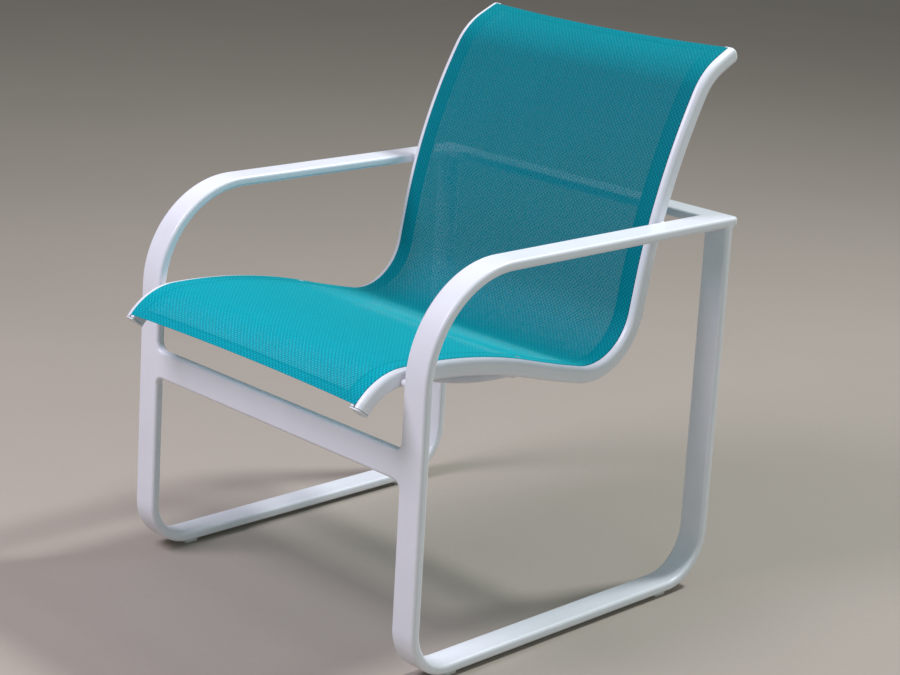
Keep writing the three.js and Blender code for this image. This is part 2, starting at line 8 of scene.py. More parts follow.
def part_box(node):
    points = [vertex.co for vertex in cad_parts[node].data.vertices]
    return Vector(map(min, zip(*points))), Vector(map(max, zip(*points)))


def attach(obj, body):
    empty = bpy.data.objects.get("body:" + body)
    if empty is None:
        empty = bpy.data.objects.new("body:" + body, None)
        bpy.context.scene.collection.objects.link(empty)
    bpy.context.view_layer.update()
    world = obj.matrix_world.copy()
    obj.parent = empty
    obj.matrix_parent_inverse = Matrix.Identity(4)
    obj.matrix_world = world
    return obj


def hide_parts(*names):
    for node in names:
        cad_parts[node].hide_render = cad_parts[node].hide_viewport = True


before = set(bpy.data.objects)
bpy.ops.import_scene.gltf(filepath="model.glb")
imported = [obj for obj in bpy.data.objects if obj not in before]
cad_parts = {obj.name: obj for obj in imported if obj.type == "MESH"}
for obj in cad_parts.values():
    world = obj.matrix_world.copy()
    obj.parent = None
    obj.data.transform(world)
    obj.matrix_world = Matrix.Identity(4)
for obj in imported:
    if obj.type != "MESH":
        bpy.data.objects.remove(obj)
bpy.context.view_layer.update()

MM = 0.001

# Side frames and rear bar
ARM_WIDTH = 604
LEG_SPLAY = 6
ARM_TOP = 568
FRAME_DEPTH = 618.8
REAR_LEG_INSET = 12
FRONT_LEG_DRIFT = 4.5
REAR_LEG_DRIFT = 1.6
TUBE_WIDTH = 42.5
TUBE_DEPTH = 14.5
TUBE_CORNER = 5
ARM_BEND = 146
FOOT_BEND = 66
HEEL_BEND = 75
FLOOR_WIDTH = ARM_WIDTH + 2 * LEG_SPLAY
TIP_ROUND = 8
TIP_SLIDE = 0.4
WELD = 3
LAP = 4.6

# Front cross rail
CROSS_RAIL_HEIGHT = 304.5
FLARE = 12

# Glides
GLIDE_HEIGHT = 6
GLIDE_LENGTH = 24
GLIDE_WIDTH = 30
GLIDE_BEVEL = 1.5
GLIDE_LAP = 3
GLIDE_CORNER = 5
GLIDE_EDGE = 0.8
GLIDE_SEAM = 0.1

# Sling rails
ARM_GAP = 7
RAIL_OVERALL = ARM_WIDTH - 2 * (TUBE_WIDTH + ARM_GAP)
RAIL_WIDTH = 19.5
RAIL_DEPTH = 24.2
RAIL_OUTER_ROUND = 8.4
RAIL_INNER_ROUND = 2.5
RAIL_START = (-61.8, 393)
RAIL_PITCH = 51.8
RAIL_TOP_DRAW = 6
BACK_RUN = 371.4
RAIL_PIECES = [
    (89.7, -51.3),
    (FRAME_DEPTH - BACK_RUN, -16.6),
    (105.2, 3.1),
    (132.3, 92.9),
    (50.4, -0.4),
    (276.1, -19),
    (63.1, -33.4),
    (35, -2.8),
]
GROOVE_EDGE = 10.7
GROOVE_SLOT = 2.4
GROOVE_BORE = 8
GROOVE_LIP = 2
LIP_ROUND = 0.4

# Sling
CLOTH = 0.9
VISIBLE_CLOTH = 0.25
CLOTH_LIFT = 0.06
LAYER_GAP = 0.04
CLOTH_SAG = 3
SPLINE = 5
SPLINE_INSET = 8
SLING_FRONT_INSET = 3
SLING_TOP_INSET = 1.5
FRONT_DRAW = 4.5
TOP_DRAW = 5.2
HEM = 25
END_HEM = 15
THROAT = 0.5
TURN_OVER = 0.7
TURN_UNDER = 0.5
OPEN_CLOTH_HALF = 240.5

# Stitches
STITCH_PITCH = 4.2
STITCH_LENGTH = 3.3
STITCH_INSET = 3
STITCH_MARGIN = 6
END_STITCH_INSET = 2
END_STITCH_MARGIN = 4
THREAD_HALF = 0.24
THREAD_RISE = 0.25
THREAD_SINK = 0.05
THREAD_SIDES = 6
THREAD_TIP_SHARE = 0.45

# Caps, fixings, stretcher
CAP_PLATE = 2.3
CAP_GAP = 0.8
CAP_SEAM = 0.2
CAP_PLUG = 1.5
CAP_PLUG_INSET = 7.5
CAP_EDGE = 0.25
CAP_CORNER = 0.7
CAP_LEAN = 5
CAP_DOME = 6
DOME_START = 0.3
DOME_FULLNESS = 0.9
TOP_TRIM = 1.6
BOLT = 6
BOLT_HEAD = 10.5
BOLT_HEAD_HEIGHT = 3.3
BOLT_DEPTH = 15.5
SPACER = 10
SPACER_EDGE = 0.5
INSERT_LENGTH = 12
SOCKET = 2
SOCKET_DEPTH = 2
HEAD_CHAMFER = 0.25
SHANK_CHAMFER = 0.6
HEAD_FLAT_SHARE = 0.62
HEAD_SIDE_SHARE = 0.12
STRETCHER_SETBACK = 243
STRETCHER = 22
STRETCHER_DROP = 14
STRETCHER_BOW = 56.3
PLATE_LENGTH = 60
PLATE_HEIGHT = 19.6
PLATE = 3
PLATE_CORNER = 5
PLATE_EDGE = 0.6
SCREW_SPACING = 44
SCREW = 5
SCREW_HEAD = 9
SCREW_HEAD_HEIGHT = 2.7
SCREW_LENGTH = 12
SCREW_DEPTH = 17
SEAM = 0.3
TOUCH = 0.02
LEAST_STEP = 0.3
SMALL_STEP = 0.01

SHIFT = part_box("rear_bar")[1].y - FRAME_DEPTH * MM


# Meshes

def finish_mesh(name, verts, faces, material, nodes, uvs=None, crease=38):
    """Makes a piece from points in millimetres, turned outward, shaded smooth, riding on the root."""
    mesh = bpy.data.meshes.new(name)
    mesh.from_pydata([(x * MM, y * MM + SHIFT, z * MM) for x, y, z in verts], [], faces)
    if uvs:
        layer = mesh.uv_layers.new(name="Weave")
        flat = [uv for face in uvs for uv in face]
        for item, uv in zip(layer.data, flat):
            item.uv = uv
    body = bmesh.new()
    body.from_mesh(mesh)
    if body.calc_volume(signed=True) < 0:
        bmesh.ops.reverse_faces(body, faces=body.faces)
    body.to_mesh(mesh)
    body.free()
    mesh.shade_smooth()
    mesh.set_sharp_from_angle(angle=math.radians(crease))
    mesh.materials.append(material)
    piece = bpy.data.objects.new(name, mesh)
    bpy.context.scene.collection.objects.link(piece)
    weigh = piece.modifiers.new("normals", "WEIGHTED_NORMAL")
    weigh.keep_sharp = True
    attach(piece, "root")
    if nodes:
        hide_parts(*nodes)
    return piece


def loft_faces(rings, count, loop=False):
    faces = []
    for k in range(rings if loop else rings - 1):
        for i in range(count):
            a, b = k * count + i, k * count + (i + 1) % count
            c, d = ((k + 1) % rings) * count + (i + 1) % count, ((k + 1) % rings) * count + i
            faces.append((a, b, c, d))
    if not loop:
        faces.append(tuple(reversed(range(count))))
        faces.append(tuple(range((rings - 1) * count, rings * count)))
    return faces


def loft(name, rings, material, nodes=(), loop=False, crease=38):
    """One body through rings of points of the same count, closed by flat ends or into a loop."""
    verts = [p for ring in rings for p in ring]
    faces = loft_faces(len(rings), len(rings[0]), loop)
    return finish_mesh(name, verts, faces, material, nodes, crease=crease)


def quarter(steps):
    """Angles from 0 to a right angle."""
    return [i / steps * math.pi / 2 for i in range(steps + 1)]


def arc(x, y, radius, start, end, steps):
    angles = [start + (end - start) * i / steps for i in range(steps + 1)]
    return [(x + radius * math.cos(a), y + radius * math.sin(a)) for a in angles]


def rounded_rectangle(width, height, radii, steps=6):
    """Against the clock from the lower left corner."""
    points = []
    for i, (right, up) in enumerate([(-1, -1), (1, -1), (1, 1), (-1, 1)]):
        start = math.pi + i * math.pi / 2
        x, y = right * (width / 2 - radii[i]), up * (height / 2 - radii[i])
        points += arc(x, y, radii[i], start, start + math.pi / 2, steps)
    return points


# Paths in the side view

class Path:
    def __init__(self, start, heading, pieces):
        self.runs = []
        y, z, angle, reach = start[0], start[1], heading, 0
        for length, turn in pieces:
            run = (reach, length, turn, y, z, angle)
            self.runs.append(run)
            y, z, angle = self.along_run(run, length)
            reach += length
        self.length = reach

    @staticmethod
    def along_run(run, distance):
        _, length, turn, y, z, start = run
        angle = start + turn * distance / length
        half = turn * distance / length / 2
        chord = distance * math.sin(half) / half if abs(half) > 1e-9 else distance
        middle = (start + angle) / 2
        return y + chord * math.cos(middle), z + chord * math.sin(middle), angle

    def at(self, distance, offset=0):
        """Spot at a distance along the path and an offset to its left, straight on past the ends."""
        inside = min(max(distance, 0), self.length)
        run = [r for r in self.runs if r[0] <= inside][-1]
        y, z, angle = self.along_run(run, inside - run[0])
        forward = (math.cos(angle), math.sin(angle))
        extra = distance - inside
        return (y + forward[0] * extra - forward[1] * offset, z + forward[1] * extra + forward[0] * offset)

    def stops(self, start, end, degrees=2.5, longest=1000):
        """Distances for rings: no step turns more than the degrees or is over the longest length."""
        stops = [start]
        for reach, length, turn, *_ in self.runs:
            count = max(1, math.ceil(abs(math.degrees(turn)) / degrees), math.ceil(length / longest))
            for i in range(count):
                stop = reach + length * i / count
                if start + LEAST_STEP < stop < end - LEAST_STEP:
                    stops.append(stop)
        return stops + [end]


def bent_pieces(corners, radii):
    """Straights and bends, as (length, turn), of a line through corners with a radius at each bend."""
    legs = [Vector(b) - Vector(a) for a, b in zip(corners, corners[1:])]
    turns = [a.angle(b) * math.copysign(1, a.cross(b)) for a, b in zip(legs, legs[1:])]
    backs = [radius * math.tan(abs(turn) / 2) for radius, turn in zip(radii, turns)]
    pieces = []
    for i, leg in enumerate(legs):
        before = backs[i - 1] if i > 0 else 0
        after = backs[i] if i < len(backs) else 0
        pieces.append((leg.length - before - after, 0))
        if i < len(radii):
            pieces.append((radii[i] * abs(turns[i]), turns[i]))
    return pieces


def outer_face(height):
    return (FLOOR_WIDTH + (ARM_WIDTH - FLOOR_WIDTH) * height / ARM_TOP) / 2


def front_leg_face(height):
    return FRONT_LEG_DRIFT * height / ARM_TOP


def rear_leg_face(height):
    return FRAME_DEPTH - REAR_LEG_INSET + REAR_LEG_DRIFT * (ARM_TOP - height) / ARM_TOP


ARM_LINE = ARM_TOP - TUBE_DEPTH / 2
RUNNER_LINE = GLIDE_HEIGHT + TUBE_DEPTH / 2
LEG_TOP = ARM_TOP - TUBE_DEPTH + LAP
INNER_ARM = ARM_WIDTH / 2 - TUBE_WIDTH
CORNERS = [
    (FRAME_DEPTH, ARM_LINE),
    (front_leg_face(ARM_LINE) + TUBE_DEPTH / 2, ARM_LINE),
    (front_leg_face(RUNNER_LINE) + TUBE_DEPTH / 2, RUNNER_LINE),
    (rear_leg_face(RUNNER_LINE) - TUBE_DEPTH / 2, RUNNER_LINE),
    (rear_leg_face(LEG_TOP) - TUBE_DEPTH / 2, LEG_TOP),
]
frame_path = Path(CORNERS[0], math.pi, bent_pieces(CORNERS, [ARM_BEND, FOOT_BEND, HEEL_BEND]))
rail_path = Path(RAIL_START, math.radians(RAIL_PITCH), [(a, math.radians(b)) for a, b in RAIL_PIECES])
RAIL_CENTRE = (RAIL_OVERALL - RAIL_WIDTH) / 2
RAIL_OUTER = RAIL_OVERALL / 2
RAIL_INNER = RAIL_OUTER - RAIL_WIDTH


def rail_distance(depth, measure, value):
    """Distance along the rail at which a measure of the spot at a depth reaches a value."""
    low, high = 0, rail_path.length
    for _ in range(50):
        middle = (low + high) / 2
        if measure(rail_path.at(middle, -depth)) < value:
            low = middle
        else:
            high = middle
    return low


ARM_FIXING = rail_distance(BOLT_DEPTH, lambda spot: spot[1], ARM_LINE)
FRONT_FIXING = rail_distance(BOLT_DEPTH, lambda spot: spot[0] - front_leg_face(spot[1]), TUBE_DEPTH / 2)


def rail_draw(distance):
    share = max(0, distance - ARM_FIXING) / (rail_path.length - ARM_FIXING)
    return RAIL_TOP_DRAW * share ** 2


def on_rail(sign, x, y, distance):
    """Spot on a rail: across from its middle, above its front face, and along it."""
    back, height = rail_path.at(distance, y)
    return (sign * (RAIL_CENTRE - rail_draw(distance) + x), back, height)


# Materials

class Nodes:
    """Short forms for the nodes of one material."""

    def __init__(self, name):
        self.material = bpy.data.materials.new(name)
        self.material.use_nodes = True
        self.tree = self.material.node_tree
        self.shader = self.tree.nodes["Principled BSDF"]

    def put(self, socket, value):
        if isinstance(value, bpy.types.NodeSocket):
            self.tree.links.new(value, socket)
        elif value is not None:
            socket.default_value = value

    def add(self, kind, inputs, output=0, **settings):
        node = self.tree.nodes.new("ShaderNode" + kind)
        for key, value in settings.items():
            setattr(node, key, value)
        for key, value in inputs.items():
            self.put(node.inputs[key], value)
        return node.outputs[output]

    def math(self, operation, a, b=None, c=None):
        return self.add("Math", {0: a, 1: b, 2: c}, operation=operation)

    def noise(self, place, scale, detail=2.0, roughness=0.5, output="Fac"):
        inputs = {"Vector": place, "Scale": scale, "Detail": detail, "Roughness": roughness}
        return self.add("TexNoise", inputs, output)

    def spread(self, value, low, high, to_low=0.0, to_high=1.0):
        return self.add("MapRange", {0: value, 1: low, 2: high, 3: to_low, 4: to_high})

    def mix(self, share, a, b, blend="MIX"):
        node = self.tree.nodes.new("ShaderNodeMix")
        node.data_type = "RGBA"
        node.blend_type = blend
        for socket, value in ((node.inputs[0], share), (node.inputs[6], a), (node.inputs[7], b)):
            self.put(socket, value)
        return node.outputs[2]

    def place(self):
        return self.add("TexCoord", {}, "Object")

    def bump(self, height, strength, distance):
        inputs = {"Height": height, "Strength": strength, "Distance": distance}
        self.put(self.shader.inputs["Normal"], self.add("Bump", inputs, "Normal"))

    def set(self, **values):
        for key, value in values.items():
            self.put(self.shader.inputs[key.replace("_", " ")], value)


def coated(name, colour, dust, rough, peel):
    """Painted or moulded surface: faint cloudiness, dust low down, an uneven gloss and a fine grain."""
    n = Nodes(name)
    place = n.place()
    cloud = n.spread(n.noise(place, 14, 3.0), 0.35, 0.7)
    height = n.add("SeparateXYZ", {0: place}, "Z")
    low = n.spread(height, 0.006, 0.07, 1.0, 0.0)
    specks = n.spread(n.noise(place, 160, 4.0, 0.7), 0.5, 0.72)
    dirt = n.math("MULTIPLY", low, n.math("MULTIPLY_ADD", specks, 0.12, 0.03))
    shade = n.mix(cloud, (*colour, 1), (*[c * 0.965 for c in colour], 1))
    n.set(Base_Color=n.mix(dirt, shade, (*dust, 1)))
    gloss = n.math("MULTIPLY_ADD", n.noise(place, 60, 3.0), 0.14, rough - 0.07)
    n.set(Roughness=n.math("ADD", gloss, n.math("MULTIPLY", dirt, 0.3)))
    n.bump(n.noise(place, peel, 1.5), 0.12, 0.0004)
    return n


DUST = (0.42, 0.38, 0.33)
coat = coated("powder_coat", (0.85, 0.855, 0.90), DUST, 0.36, 900)
coat.set(IOR=1.5, Coat_Weight=0.15, Coat_Roughness=0.2)
powder_coat = coat.material
cap_plastic = coated("cap_plastic", (0.82, 0.83, 0.85), DUST, 0.45, 500).material
glide_plastic = coated("glide_plastic", (0.72, 0.73, 0.71), DUST, 0.55, 400).material
spline_plastic = coated("spline_plastic", (0.58, 0.61, 0.62), DUST, 0.5, 300).material


def steel_material():
    n = Nodes("steel")
    place = n.place()
    grain = n.noise(n.add("Mapping", {0: place, 3: (40, 900, 900)}), 1.0, 3.0)
    n.set(Base_Color=n.mix(grain, (0.55, 0.56, 0.58, 1), (0.68, 0.69, 0.7, 1)), Metallic=1.0)
    n.set(Roughness=n.math("MULTIPLY_ADD", grain, 0.2, 0.24))
    n.bump(grain, 0.06, 0.0002)
    return n.material


steel = steel_material()

# Cloth: the yarn's width and the painted shade's range along the sling are in metres, as the UV map is
CLOTH_LIGHT = (0.0, 0.42, 0.53)
# Painted shade: the colour the weave's hollows are darkened toward.
CLOTH_HOLLOW_SHADE = (0.0, 0.21, 0.26)
THREAD_DARK = (0.0, 0.23, 0.28)
THREAD_LIGHT = (0.0, 0.33, 0.40)
YARN = 0.0017
HOLE_SHARE = 0.5
# Painted light and shade on the yarns: floats of the warp lighter, floats of the weft darker.
PAINTED_YARN_SHADE, PAINTED_YARN_HIGHLIGHT = 0.68, 1.24
# Painted light and shade along the sling: the seat is painted lighter and the back darker, blending between
# these two distances.
PAINTED_SHADE_START, PAINTED_SHADE_END = 0.36, 0.6
PAINTED_LIT_SEAT, PAINTED_SHADED_BACK = 1.18, 0.7
SHEEN = {"Sheen_Weight": 1.0, "Sheen_Roughness": 0.4, "Sheen_Tint": (0.06, 0.95, 1.0, 1)}


def cloth_material():
    """Basket weave of coated yarns in pairs, with small holes between them. The weave rides on the
    UV map, which is in metres: across the sling, and along it."""
    n = Nodes("sling_weave")
    uv = n.add("UVMap", {}, uv_map="Weave")
    u, v = (n.add("SeparateXYZ", {0: uv}, axis) for axis in "XY")
    a, b = n.math("DIVIDE", u, YARN), n.math("DIVIDE", v, YARN)
    warp = n.math("ABSOLUTE", n.math("SINE", n.math("MULTIPLY", a, math.pi)))
    weft = n.math("ABSOLUTE", n.math("SINE", n.math("MULTIPLY", b, math.pi)))
    float_a = n.math("SINE", n.math("MULTIPLY", a, math.pi / 2))
    float_b = n.math("SINE", n.math("MULTIPLY", b, math.pi / 2))
    over = n.math("MULTIPLY", float_a, float_b)
    warp_high = n.math("MULTIPLY", warp, n.math("MULTIPLY_ADD", over, 0.45, 0.55))
    weft_high = n.math("MULTIPLY", weft, n.math("MULTIPLY_ADD", over, -0.45, 0.55))
    height = n.math("MAXIMUM", warp_high, weft_high)
    warp_gap, weft_gap = n.math("LESS_THAN", warp, HOLE_SHARE), n.math("LESS_THAN", weft, HOLE_SHARE)
    hole = n.math("MULTIPLY", warp_gap, weft_gap)
    open_cloth = n.math("LESS_THAN", n.math("ABSOLUTE", u), OPEN_CLOTH_HALF * MM)
    n.set(Alpha=n.math("SUBTRACT", 1.0, n.math("MULTIPLY", hole, open_cloth)))

    warp_yarn = n.add("TexWhiteNoise", {"W": n.math("FLOOR", a)}, "Value", noise_dimensions="1D")
    weft_yarn = n.add("TexWhiteNoise", {"W": n.math("FLOOR", b)}, "Value", noise_dimensions="1D")
    on_top = n.math("GREATER_THAN", warp_high, weft_high)
    yarn = n.mix(on_top, weft_yarn, warp_yarn)
    cloud = n.noise(n.place(), 9, 3.0)
    tone = n.math("MULTIPLY_ADD", yarn, 0.08, n.math("MULTIPLY_ADD", cloud, 0.10, 0.86))
    # Painted light and shade: where the warp lies on top the tone is raised, where the weft lies on top it is
    # lowered.
    step = n.math("SUBTRACT", warp_high, weft_high)
    tone = n.math("MULTIPLY", tone, n.spread(step, -0.5, 0.5, PAINTED_YARN_SHADE, PAINTED_YARN_HIGHLIGHT))
    # Painted light and shade: lighter on the seat, darker up the back.
    tone = n.math("MULTIPLY", tone, n.spread(v, PAINTED_SHADE_START, PAINTED_SHADE_END, PAINTED_LIT_SEAT, PAINTED_SHADED_BACK))
    # Painted shade: the low parts of the weave are painted darker, and the crowns take the lighter colour.
    depth = n.spread(height, 0.25, 0.85, 0.0, 1.0)
    shade = n.mix(depth, (*CLOTH_HOLLOW_SHADE, 1), (*CLOTH_LIGHT, 1))
    n.set(Base_Color=n.mix(1.0, shade, n.add("CombineColor", {0: tone, 1: tone, 2: tone}), "MULTIPLY"))
    n.set(Roughness=n.math("MULTIPLY_ADD", depth, -0.12, 0.62), Specular_IOR_Level=0.05)
    n.set(**SHEEN)
    n.bump(height, 0.45, 0.0005)
    return n.material


cloth = cloth_material()


def thread_material():
    n = Nodes("thread")
    twist = n.add("TexWave", {"Vector": n.place(), "Scale": 900.0, "Distortion": 2.0}, "Fac")
    n.set(Base_Color=n.mix(twist, (*THREAD_DARK, 1), (*THREAD_LIGHT, 1)))
    n.set(Roughness=0.7, Specular_IOR_Level=0.0)
    n.set(**SHEEN)
    n.bump(twist, 0.4, 0.0002)
    return n.material


thread = thread_material()


# Side frames, rear bar, cross rail

section = rounded_rectangle(TUBE_WIDTH, TUBE_DEPTH, [TUBE_CORNER] * 4, 7)
TIP_STEPS = 6


def mitre_spot(inset, angle, slide):
    """Spot on the rounded corner between arm and rear bar, as (along its own tube, square to it)."""
    if inset < TIP_ROUND:
        reach = TIP_ROUND - inset
        return -TIP_ROUND + reach * math.sin(angle), -TIP_ROUND + reach * math.cos(angle)
    return -inset - slide, -inset


def weld_flare(distance, size):
    """How far a round fillet of a size stands out at a distance from where it starts."""
    reach = max(0, size - distance)
    return size - math.sqrt(size ** 2 - reach ** 2)


def mitre_rings(place):
    """Rings at the mitre, where place gives each spot from (along, across, y) of its own tube."""
    rings = []
    for k in range(TIP_STEPS + 1):
        angle = math.pi / 4 * (1 - k / TIP_STEPS)
        ring = []
        for x, y in section:
            along, across = mitre_spot(TUBE_WIDTH / 2 - x, angle, k * TIP_SLIDE)
            ring.append(place(along, across, y))
        rings.append(ring)
    return rings


def side_frame(sign, side):
    rings = mitre_rings(lambda along, across, y: (
        sign * (ARM_WIDTH / 2 + across), FRAME_DEPTH + along - TOUCH, ARM_LINE - y))
    top = frame_path.length
    stops = frame_path.stops(0, top)[1:-1]
    stops += [top - LAP - WELD * (1 - math.sin(a)) for a in quarter(6)] + [top]
    for stop in stops:
        centre = frame_path.at(stop)
        face = outer_face(ARM_TOP if stop < frame_path.runs[0][1] else centre[1])
        spread = 1 + weld_flare(max(0, top - LAP - stop), WELD) / (TUBE_DEPTH / 2)
        ring = []
        for x, y in section:
            back, height = frame_path.at(stop, y * spread)
            ring.append((sign * (face - TUBE_WIDTH / 2 + x), back, height))
        rings.append(ring)
    return loft("frame_loop_" + side, rings, powder_coat, ["side_frame_" + side])


def rear_bar():
    rings = []
    for end in (-1, 1):
        half = mitre_rings(lambda along, across, y: (
            end * (ARM_WIDTH / 2 + along - TOUCH), FRAME_DEPTH + across, ARM_LINE + y))
        rings += half if end < 0 else half[::-1]
    return loft("frame_rear_bar", rings, powder_coat, ["rear_bar"])


def cross_rail():
    """Its flares are fillets in outline, and inner rings follow the tube's rounded edges."""
    distances = {round(FLARE - (FLARE + inset) * math.sin(math.radians(angle)), 2)
                 for inset in (0, TUBE_CORNER / 2, TUBE_CORNER) for angle in range(0, 91, 10)}
    distances = sorted(distances)
    ends = [(-1, d) for d in distances] + [(1, d) for d in distances[::-1]]
    rings = []
    for end, distance in ends:
        ring = []
        for x, y in section:
            reach = FLARE + TUBE_WIDTH / 2 - abs(x)
            edge = FLARE - math.sqrt(max(0, reach ** 2 - (FLARE - distance) ** 2))
            height = CROSS_RAIL_HEIGHT + math.copysign(TUBE_WIDTH / 2 + edge, x)
            back = front_leg_face(height) + TUBE_DEPTH / 2 + y * (1 - 2 * TOUCH / TUBE_DEPTH)
            ring.append((end * (outer_face(height) - TUBE_WIDTH - distance), back, height))
        rings.append(ring)
    return loft("frame_cross_rail", rings, powder_coat, ["front_cross_rail"])


# Glides: a pad that follows the tube's underside, with rounded corners and a bevelled sole

BEND_ENDS = [
    ("front", CORNERS[2][0] + FOOT_BEND, -1, FOOT_BEND + TUBE_DEPTH / 2),
    ("rear", CORNERS[3][0] - HEEL_BEND, 1, HEEL_BEND + TUBE_DEPTH / 2),
]
GLIDE_ACROSS = outer_face(0) - TUBE_WIDTH / 2


def glide(sign, side, name, end, toward, radius):
    middle = end - toward * (GLIDE_LENGTH / 2 - GLIDE_LAP)
    rings = []
    offsets = [GLIDE_CORNER * (1 - math.cos(a)) for a in quarter(8)]
    offsets += [GLIDE_LENGTH / 2 + (GLIDE_LENGTH / 2 - GLIDE_CORNER) * i / 8 for i in range(-7, 8)]
    offsets += [GLIDE_LENGTH - offset for offset in offsets[8::-1]]
    for offset in offsets:
        back = middle - GLIDE_LENGTH / 2 + offset
        near = min(offset, GLIDE_LENGTH - offset)
        half = GLIDE_WIDTH / 2 - weld_flare(near, GLIDE_CORNER)
        lift = weld_flare(near, GLIDE_BEVEL)
        past = max(0, (back - end) * toward)
        top = GLIDE_HEIGHT + radius - math.sqrt(radius ** 2 - past ** 2) - GLIDE_SEAM
        outline = arc(half - GLIDE_BEVEL, GLIDE_BEVEL + lift, GLIDE_BEVEL, -math.pi / 2, 0, 5)
        outline += arc(half - GLIDE_EDGE, top - GLIDE_EDGE, GLIDE_EDGE, 0, math.pi / 2, 4)
        outline += [(-x, z) for x, z in outline[::-1]]
        rings.append([(sign * GLIDE_ACROSS + x, back, z) for x, z in outline])
    tag = "%s_%s" % (name, side)
    return loft("foot_" + tag, rings, glide_plastic, ["glide_" + tag])


# Sling rails and their caps

BORE = GROOVE_BORE / 2
BORE_X = RAIL_WIDTH / 2 - GROOVE_EDGE - GROOVE_SLOT / 2
BORE_Y = -GROOVE_LIP - math.sqrt(BORE ** 2 - (GROOVE_SLOT / 2) ** 2)
RAIL_RADII = [RAIL_INNER_ROUND, RAIL_OUTER_ROUND, RAIL_OUTER_ROUND, RAIL_INNER_ROUND]


def rail_outline(groove):
    steps = 9
    outline = rounded_rectangle(RAIL_WIDTH, RAIL_DEPTH, RAIL_RADII, steps)
    outline = [(x, y - RAIL_DEPTH / 2) for x, y in outline]
    if not groove:
        return outline
    half = GROOVE_SLOT / 2
    lean = math.asin(half / BORE)
    right = arc(BORE_X + half + LIP_ROUND, -LIP_ROUND, LIP_ROUND, math.pi / 2, math.pi, 4)
    bore = arc(BORE_X, BORE_Y, BORE, math.pi / 2 - lean, lean - 3 * math.pi / 2, 26)
    left = arc(BORE_X - half - LIP_ROUND, -LIP_ROUND, LIP_ROUND, 0, math.pi / 2, 4)
    cut = 3 * (steps + 1)
    return outline[:cut] + right + bore + left + outline[cut:]


def rail(sign, side):
    stops = rail_path.stops(0, rail_path.length - TOP_TRIM, degrees=2, longest=12)
    rings = [[on_rail(sign, x, y, stop) for x, y in rail_outline(True)] for stop in stops]
    return loft("seat_rail_" + side, rings, powder_coat, ["sling_rail_" + side])


def spline(sign, side):
    end = rail_path.length - SPLINE_INSET
    stops = rail_path.stops(SPLINE_INSET, end, degrees=3, longest=20)
    outline = arc(BORE_X, BORE_Y, SPLINE / 2, 0, 2 * math.pi, 20)[:-1]
    rings = [[on_rail(sign, x, y, stop) for x, y in outline] for stop in stops]
    return loft("welt_" + side, rings, spline_plastic, ["spline_" + side])


def cap_profile(top, seam):
    """Spots as (out from the rail's end, in from its outline): plug, edge, then dome or plate."""
    inner = [(-CAP_PLUG, CAP_PLUG_INSET), (seam, CAP_PLUG_INSET)]
    edge = [(seam + CAP_EDGE * (1 - math.cos(a)), CAP_EDGE * (1 - math.sin(a))) for a in quarter(2)]
    if top:
        rise = CAP_DOME + CAP_PLATE / 2
        face = [
            (seam + DOME_START + rise * math.sin(a), (1 - math.cos(a) ** DOME_FULLNESS) * RAIL_WIDTH / 2)
            for a in [math.radians(degrees) for degrees in range(0, 85, 7)]
        ]
    else:
        out = CAP_GAP + CAP_PLATE
        face = [(out - CAP_CORNER * (1 - math.sin(a)), CAP_CORNER * (1 - math.cos(a))) for a in quarter(5)]
    return inner + edge + face


def cap(sign, side, name):
    top = name == "top"
    at, toward, seam = (rail_path.length - TOP_TRIM, 1, CAP_SEAM) if top else (0, -1, CAP_GAP)
    outline = rail_outline(False)
    middle = -RAIL_DEPTH / 2
    rings = []
    for out, inset in cap_profile(top, seam):
        scale_x = 1 - inset / (RAIL_WIDTH / 2)
        scale_y = 1 - inset / (RAIL_DEPTH / 2) if not top else scale_x
        lean = (1 - scale_x) * CAP_LEAN if top and out > CAP_GAP else 0
        rings.append([
            on_rail(sign, x * scale_x + lean, middle + (y - middle) * scale_y, at + toward * out)
            for x, y in outline
        ])
    tag = "%s_%s" % (name, side)
    return loft("end_cap_" + tag, rings, cap_plastic, ["rail_cap_" + tag])


# Sling: one strip of cloth that goes down each groove, round its spline and back under itself

NECK = RAIL_CENTRE + BORE_X
FLAT_HALF = NECK - BORE
UNDER = VISIBLE_CLOTH / 2 + CLOTH_LIFT
OVER = UNDER + VISIBLE_CLOTH + LAYER_GAP
HEM_EDGE = NECK - HEM
START = SLING_FRONT_INSET
END = rail_path.length - SLING_TOP_INSET
FOLD = (OVER - UNDER) / 2


def dip(x):
    return CLOTH_SAG * (1 - min(1, (x / FLAT_HALF) ** 2))


def on_sling(x, y, distance):
    """Spot on the sling: across from its middle, above the rails' front faces, and along them."""
    middle = 1 - min(1, (x / FLAT_HALF) ** 2)
    share = (distance - START) / (END - START)
    back, height = rail_path.at(distance + middle * ((1 - share) * FRONT_DRAW - share * TOP_DRAW), y - dip(x))
    inward = max(-1, min(1, x / FLAT_HALF)) * rail_draw(distance)
    return (x - inward, back, height)


